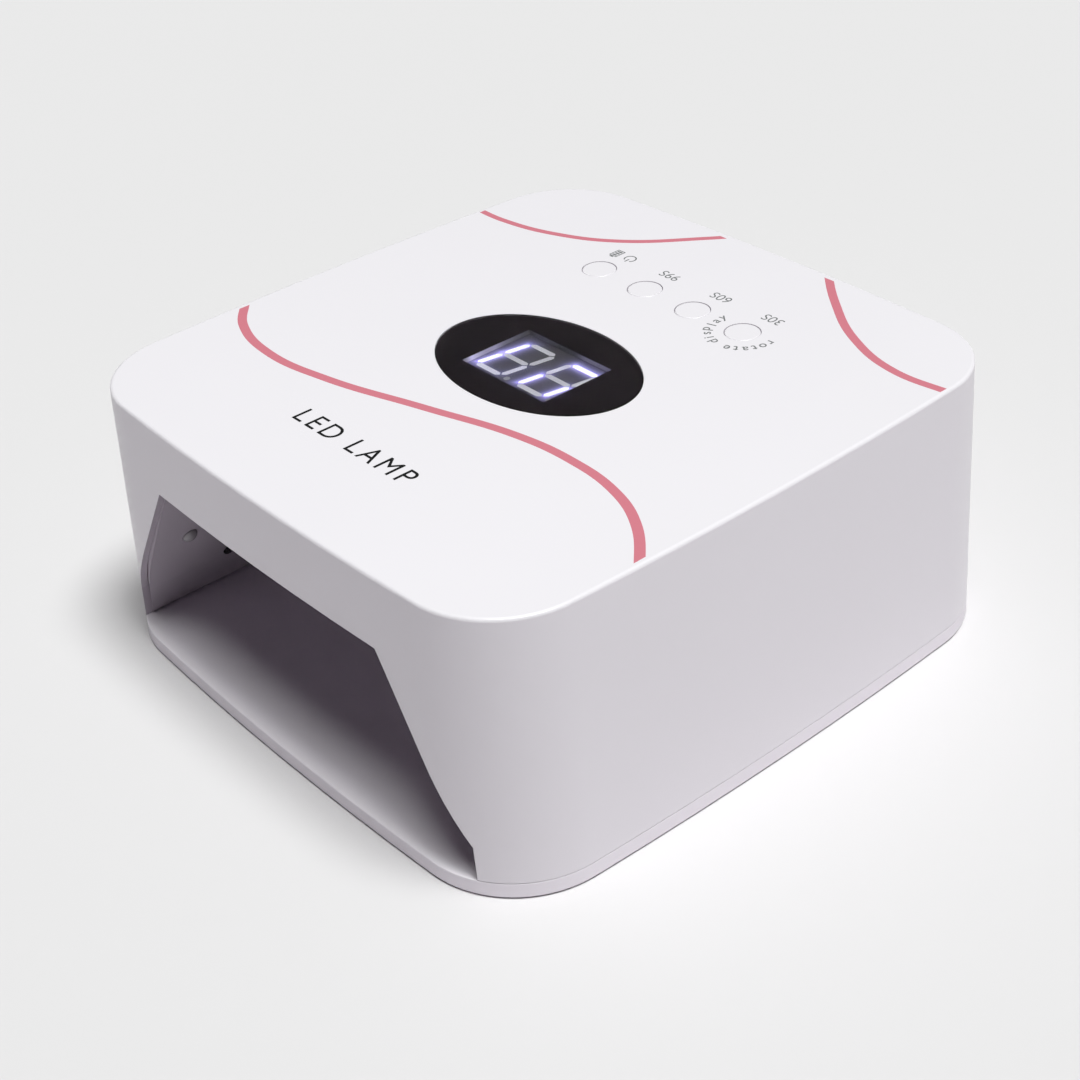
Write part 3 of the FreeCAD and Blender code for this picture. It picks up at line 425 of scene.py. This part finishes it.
def add_halos(recipe, bars, colour, strength, distance):
    """Painted light round the glowing bars: emission on the given surface, dying away over a distance."""
    split = recipe.node("ShaderNodeSeparateXYZ")
    recipe.link(recipe.place, split.inputs["Vector"])
    slant = recipe.math("MULTIPLY", split.outputs["Y"], SLANT)
    level = recipe.node("ShaderNodeCombineXYZ")
    recipe.link(recipe.math("SUBTRACT", split.outputs["X"], slant), level.inputs["X"])
    recipe.link(split.outputs["Y"], level.inputs["Y"])
    total = None
    for centre, half, word in bars:
        beyond = recipe.vector("SUBTRACT", level.outputs[0], centre)
        beyond = recipe.vector("ABSOLUTE", beyond)
        beyond = recipe.vector("MAXIMUM", recipe.vector("SUBTRACT", beyond, half), (0.0, 0.0, 0.0))
        length = recipe.node("ShaderNodeVectorMath", operation="LENGTH")
        recipe.link(beyond, length.inputs[0])
        fade = recipe.math("EXPONENT", recipe.math("MULTIPLY", length.outputs["Value"], -1.0 / distance))
        light = recipe.math("MULTIPLY", fade, strength * HALO[word])
        total = light if total is None else recipe.math("ADD", total, light)
    recipe.shader.inputs["Emission Color"].default_value = colour
    recipe.link(total, recipe.shader.inputs["Emission Strength"])


segment_looks = {word: segment_material(word) for word in GLOW}
glowing_bars = []
for digit in LIT:
    glowing_bars += light_digit(digit)
# Painted glow on the display's face: emission round the lit bars stands in for their light spreading onto it.
add_halos(recipes["display_grey"], glowing_bars, VIOLET, 1.0, 1.1 * MM)

# Inside these limits, the only faces of the casing that look sideways are the hand opening's cut edges.
OPENING_X = 83.0 * MM
OPENING_Y = -95.0 * MM
OPENING_Z = 66.0 * MM


def paint_edge_shade_and_glow():
    """Darkens the cut edges of the casing and paints light on them: round the display, a dark tone with a
    painted glow of the bars' light, and at the opening, the liner's darker colour as painted shade.
    """
    dark_wall_glow = moulded("dark_wall_painted_glow", (0.20, 0.19, 0.21), (0.17, 0.16, 0.18), (0.40, 0.50), 1500.0, 4e-6)
    # Painted glow: emission on the casing's cut edges round the display stands in for the display's light
    # falling on them.
    add_halos(dark_wall_glow, glowing_bars, LILAC, 2.2, 1.1 * MM)
    dress("outer_shell", [recipes["white_shell"].material, dark_wall_glow.material, recipes["white_liner"].material])
    low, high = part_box("display_module")
    for polygon in nodes["outer_shell"].data.polygons:
        x, y, z = polygon.center
        across = abs(polygon.normal.z) < 0.1
        if across and low.x < x < high.x and low.y < y < high.y and z > high.z:
            polygon.material_index = 1
        elif abs(polygon.normal.y) < 0.01 and abs(x) < OPENING_X and y < OPENING_Y and z < OPENING_Z:
            # The opening's cut edges get the liner's darker colour as painted shade on the white casing.
            polygon.material_index = 2


paint_edge_shade_and_glow()

# ---------------------------------------------------------------- printing on the casing

top_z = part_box("outer_shell")[1].z
PRINT_T = 0.05 * MM
PRINT_PROUD = 0.03 * MM
STRIPE_MARGIN = 1.7 * MM  # how far inside the rim the stripes stop
# The three stripes: width and centre line, in millimetres from the middle of the top.
STRIPES = {
    "stripe_front": (2.9, [
        (-97, -36.5), (-84, -45.8), (-63, -50.6), (-38, -48.0), (-3, -38.5),
        (27, -30.5), (47, -28.8), (67, -31.2), (82, -37.8), (99, -52.5),
    ]),
    "stripe_back_left": (2.3, [
        (-99, 57.7), (-83, 57.8), (-63, 62.1), (-43, 72.4), (-23, 93.4), (-15, 103.5),
    ]),
    "stripe_back_right": (2.7, [(19, 103.5), (37, 87.1), (57, 73.1), (77, 66.3), (99, 67.5)]),
}
CAPITAL = 0.682  # height of a capital letter in the built-in font, at size 1
# Lettering in millimetres and degrees. A weight thickens (+) or thins (-) the strokes, at size 1.
FRONT_TEXT = "LED LAMP"
FRONT_TEXT_H = 6.6
FRONT_TEXT_SPACING = 1.25
FRONT_TEXT_AT = (-0.9, -64.5)
LABEL_H = 3.6
LABEL_WEIGHT = -0.004
LABEL_AWAY = 11.6  # from a button's centre back to its label
LABELS = {"30s": ("30S", 1.2), "60s": ("60S", 0.6), "99s": ("99S", -0.8)}  # text, shift in X
RING_TEXT = "rotate display"
RING_TEXT_R = 10.3
RING_TEXT_H = 3.1
RING_TEXT_WEIGHT = 0.006
RING_TEXT_FROM = 4.0
RING_TEXT_TURN = -198.0
# Icons by the power button, in millimetres.
BATTERY_CASE = (3.2, 4.4)
BATTERY_WINDOW = (2.5, 3.7)
BATTERY_TIP = (1.4, 0.6)
BATTERY_TIP_Y = 2.6
BATTERY_BAR = (1.9, 0.75)
BATTERY_BARS_Y = (-1.15, 0.0, 1.15)
BATTERY_X = -4.1  # from the button's centre
POWER_R = 1.9
POWER_LINE = 0.45
POWER_RING = range(125, 416, 10)  # degrees along the ring, which is open at the top
POWER_BAR = 2.0
POWER_BAR_Y = 1.5
POWER_X = 1.9


def ink(name, colour, shade, rough):
    """Screen-printed ink: a matte film with tiny pinholes of tone."""
    recipe = Recipe(name, colour, rough)
    recipe.colours(recipe.noise(2600.0, 4.0), colour, shade)
    recipe.roughness(recipe.noise(700.0), rough - 0.05, rough + 0.08)
    recipe.relief(recipe.noise(3000.0, 2.0), 2e-6)
    return recipe.material


pink_ink = ink("pink_ink", (0.61, 0.188, 0.242), (0.57, 0.174, 0.228), 0.38)
grey_ink = ink("grey_ink", (0.15, 0.15, 0.16), (0.19, 0.19, 0.20), 0.45)
black_ink = ink("black_ink", (0.008, 0.008, 0.009), (0.014, 0.014, 0.015), 0.35)


def evaluated(data):
    """The mesh of a curve or text, welded into closed solids."""
    carrier = bpy.data.objects.new("carrier", data)
    scene.collection.objects.link(carrier)
    bpy.context.view_layer.update()
    mesh = bpy.data.meshes.new_from_object(carrier.evaluated_get(bpy.context.evaluated_depsgraph_get()))
    bpy.data.objects.remove(carrier)
    built = bmesh.new()
    built.from_mesh(mesh)
    bmesh.ops.remove_doubles(built, verts=built.verts, dist=1e-5)
    bmesh.ops.recalc_face_normals(built, faces=built.faces)
    built.to_mesh(mesh)
    built.free()
    return mesh


def ends_of(mesh):
    """The lowest and highest corners of a mesh."""
    points = [v.co for v in mesh.vertices]
    return [[pick(point[i] for point in points) for i in range(3)] for pick in (min, max)]


def lettering(text, weight=0.0, spacing=1.0):
    """Upright lettering at font size 1, one unit thick, with its middle on the origin."""
    data = bpy.data.curves.new("lettering", "FONT")
    data.body = text
    data.offset = weight
    data.space_character = spacing
    data.extrude = 0.5
    mesh = evaluated(data)
    middle = sum((Vector(corner) for corner in ends_of(mesh)), Vector()) / 2
    mesh.transform(Matrix.Translation((-middle.x, -middle.y, 0.0)))
    return mesh


def flat(loops):
    """A filled shape from closed loops of (x, y), one unit thick; a loop inside another is a hole."""
    data = bpy.data.curves.new("flat", "CURVE")
    data.dimensions = "2D"
    data.fill_mode = "BOTH"
    data.extrude = 0.5
    for loop in loops:
        spline = data.splines.new("POLY")
        spline.points.add(len(loop) - 1)
        for point, (x, y) in zip(spline.points, loop):
            point.co = (x, y, 0.0, 1.0)
        spline.use_cyclic_u = True
    return evaluated(data)


def finish_print(name, built, material):
    """Makes a piece of what was built, which rides on the lamp."""
    mesh = bpy.data.meshes.new(name)
    built.to_mesh(mesh)
    built.free()
    mesh.materials.append(material)
    piece = bpy.data.objects.new(name, mesh)
    scene.collection.objects.link(piece)
    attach(piece, "lamp")


def printed(name, parts, material):
    """Lays flat meshes on the top as one print; each part is (mesh, scale, degrees, x, y), in millimetres."""
    built = bmesh.new()
    for mesh, scale, degrees, x, y in parts:
        size = Matrix.Diagonal((scale * MM, scale * MM, PRINT_T, 1.0))
        turn = Matrix.Rotation(math.radians(degrees), 4, "Z")
        place = Matrix.Translation((x * MM, y * MM, top_z + PRINT_PROUD - PRINT_T / 2))
        mesh.transform(place @ turn @ size)
        built.from_mesh(mesh)
    finish_print(name, built, material)


def smooth_line(points):
    """A smooth line through the points, as (x, y) pairs."""
    data = bpy.data.curves.new("line", "CURVE")
    data.resolution_u = 16
    spline = data.splines.new("BEZIER")
    spline.bezier_points.add(len(points) - 1)
    for knot, (x, y) in zip(spline.bezier_points, points):
        knot.co = (x, y, 0.0)
        knot.handle_left_type = knot.handle_right_type = "AUTO"
    return [(v.co.x, v.co.y) for v in evaluated(data).vertices]


def band(line, width):
    """The closed loop round a line, half a width away on each side."""
    left = []
    right = []
    for i, (x, y) in enumerate(line):
        (xa, ya), (xb, yb) = line[max(i - 1, 0)], line[min(i + 1, len(line) - 1)]
        reach = width / 2 / math.hypot(xb - xa, yb - ya)
        left.append((x - (yb - ya) * reach, y + (xb - xa) * reach))
        right.append((x + (yb - ya) * reach, y - (xb - xa) * reach))
    return left + right[::-1]


def print_stripes():
    """The pink stripes, cut off just inside the rim."""
    rim = [v.co for v in nodes["outer_shell"].data.vertices if v.co.z > top_z - 1e-6]
    rim_x = max(v.x for v in rim) - STRIPE_MARGIN
    rim_y = max(v.y for v in rim) - STRIPE_MARGIN
    cuts = [((rim_x, 0, 0), (1, 0, 0)), ((-rim_x, 0, 0), (-1, 0, 0)), ((0, rim_y, 0), (0, 1, 0))]
    for name, (width, points) in STRIPES.items():
        mesh = flat([band(smooth_line(points), width)])
        mesh.transform(Matrix.Translation((0, 0, top_z + PRINT_PROUD - PRINT_T / 2))
                       @ Matrix.Diagonal((MM, MM, PRINT_T, 1.0)))
        built = bmesh.new()
        built.from_mesh(mesh)
        for point, outward in cuts:
            whole = built.verts[:] + built.edges[:] + built.faces[:]
            bmesh.ops.bisect_plane(built, geom=whole, plane_co=point, plane_no=outward, clear_outer=True)
            bmesh.ops.holes_fill(built, edges=[edge for edge in built.edges if edge.is_boundary])
        finish_print(name, built, pink_ink)


def button_centre(name):
    """A button's centre in millimetres."""
    low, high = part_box("button_cap_" + name)
    return (low.x + high.x) / 2 / MM, (low.y + high.y) / 2 / MM


def rectangle(x, y, width, height):
    """The corners of a rectangle about (x, y)."""
    return [(x - width / 2, y - height / 2), (x + width / 2, y - height / 2),
            (x + width / 2, y + height / 2), (x - width / 2, y + height / 2)]


def print_labels():
    """The times and the ring of small letters by the buttons, which read from behind."""
    for button, (text, shift) in LABELS.items():
        x, y = button_centre(button)
        mesh = lettering(text, LABEL_WEIGHT)
        printed("label_" + button, [(mesh, LABEL_H / CAPITAL, 180, x + shift, y + LABEL_AWAY)], grey_ink)
    x, y = button_centre("30s")
    letters = []
    for i, letter in enumerate(RING_TEXT):
        if letter == " ":
            continue
        angle = RING_TEXT_FROM + RING_TEXT_TURN * i / (len(RING_TEXT) - 1)
        along = math.radians(angle)
        letters.append((lettering(letter, RING_TEXT_WEIGHT), RING_TEXT_H / CAPITAL, angle - 90,
                        x + RING_TEXT_R * math.cos(along), y + RING_TEXT_R * math.sin(along)))
    printed("label_ring", letters, grey_ink)


def print_icons():
    """The battery and power icons behind the power button."""
    x, y = button_centre("power")
    battery = [rectangle(0, 0, *BATTERY_CASE), rectangle(0, 0, *BATTERY_WINDOW)]
    battery.append(rectangle(0, BATTERY_TIP_Y, *BATTERY_TIP))
    battery += [rectangle(0, level, *BATTERY_BAR) for level in BATTERY_BARS_Y]
    printed("icon_battery", [(flat(battery), 1.0, 180, x + BATTERY_X, y + LABEL_AWAY)], grey_ink)
    ring = [(POWER_R * math.cos(math.radians(a)), POWER_R * math.sin(math.radians(a))) for a in POWER_RING]
    power = [band(ring, POWER_LINE), rectangle(0, POWER_BAR_Y, POWER_LINE, POWER_BAR)]
    printed("icon_power", [(flat(power), 1.0, 180, x + POWER_X, y + LABEL_AWAY)], grey_ink)


def print_front():
    """The lettering across the front of the top."""
    mesh = lettering(FRONT_TEXT, 0.0, FRONT_TEXT_SPACING)
    printed("lettering_front", [(mesh, FRONT_TEXT_H / CAPITAL, 0, *FRONT_TEXT_AT)], black_ink)


print_stripes()
print_labels()
print_icons()
print_front()

# ---------------------------------------------------------------- studio

scene.view_settings.view_transform = "Standard"
FLOOR_R = 5.0  # the flat part
SWEEP_R = 1.0
SWEEP_STEPS = range(5, 60, 5)  # degrees of the curve at its edge
FLOOR_TURNS = 96
FLOOR_WHITE = (0.65, 0.618, 0.65)
FLOOR_SHADE = (0.645, 0.613, 0.645)
SUN_COLOUR = (0.95, 1.0, 0.95)  # balances the casing's and the floor's faint violet


def add_floor():
    """A plain pale floor that the feet stand on, round, and curving up at its edge."""
    profile = [(FLOOR_R, 0.0)]
    for degrees in SWEEP_STEPS:
        lift = math.radians(degrees)
        profile.append((FLOOR_R + SWEEP_R * math.sin(lift), SWEEP_R * (1.0 - math.cos(lift))))
    turns = [2 * math.pi * i / FLOOR_TURNS for i in range(FLOOR_TURNS)]
    built = bmesh.new()
    rings = []
    for radius, height in profile:
        points = [(radius * math.cos(a), radius * math.sin(a), cad_low.z + height) for a in turns]
        rings.append([built.verts.new(point) for point in points])
    built.faces.new(rings[0])
    for inner, outer in zip(rings[:-1], rings[1:]):
        for i in range(FLOOR_TURNS):
            j = (i + 1) % FLOOR_TURNS
            built.faces.new([inner[i], outer[i], outer[j], inner[j]]).smooth = True
    mesh = bpy.data.meshes.new("floor")
    built.to_mesh(mesh)
    built.free()
    floor = bpy.data.objects.new("floor", mesh)
    recipe = Recipe("floor_paper", FLOOR_WHITE, 0.9)
    recipe.shader.inputs["Specular IOR Level"].default_value = 0.0
    recipe.colours(recipe.noise(3.0), FLOOR_WHITE, FLOOR_SHADE)
    mesh.materials.append(recipe.material)
    scene.collection.objects.link(floor)


def add_sun(name, azimuth, elevation, strength, angle):
    """A distant light from an azimuth (0 is the front, 90 the right) and an elevation, in degrees."""
    a, e = math.radians(azimuth), math.radians(elevation)
    towards = Vector((math.sin(a) * math.cos(e), -math.cos(a) * math.cos(e), math.sin(e)))
    data = bpy.data.lights.new(name, "SUN")
    data.energy = strength
    data.color = SUN_COLOUR
    data.angle = math.radians(angle)
    light = bpy.data.objects.new(name, data)
    light.rotation_mode = "QUATERNION"
    light.rotation_quaternion = towards.to_track_quat("Z", "Y")
    scene.collection.objects.link(light)


def add_world(strength):
    """An even white surround."""
    world = bpy.data.worlds.new("studio")
    world.use_nodes = True
    background = world.node_tree.nodes["Background"]
    background.inputs["Color"].default_value = (1.0, 1.0, 1.0, 1.0)
    background.inputs["Strength"].default_value = strength
    scene.world = world


add_floor()
add_world(0.01)
add_sun("key_right", 110, 73, 2.09, 20)
add_sun("key_front", 82, 77, 2.2, 30)
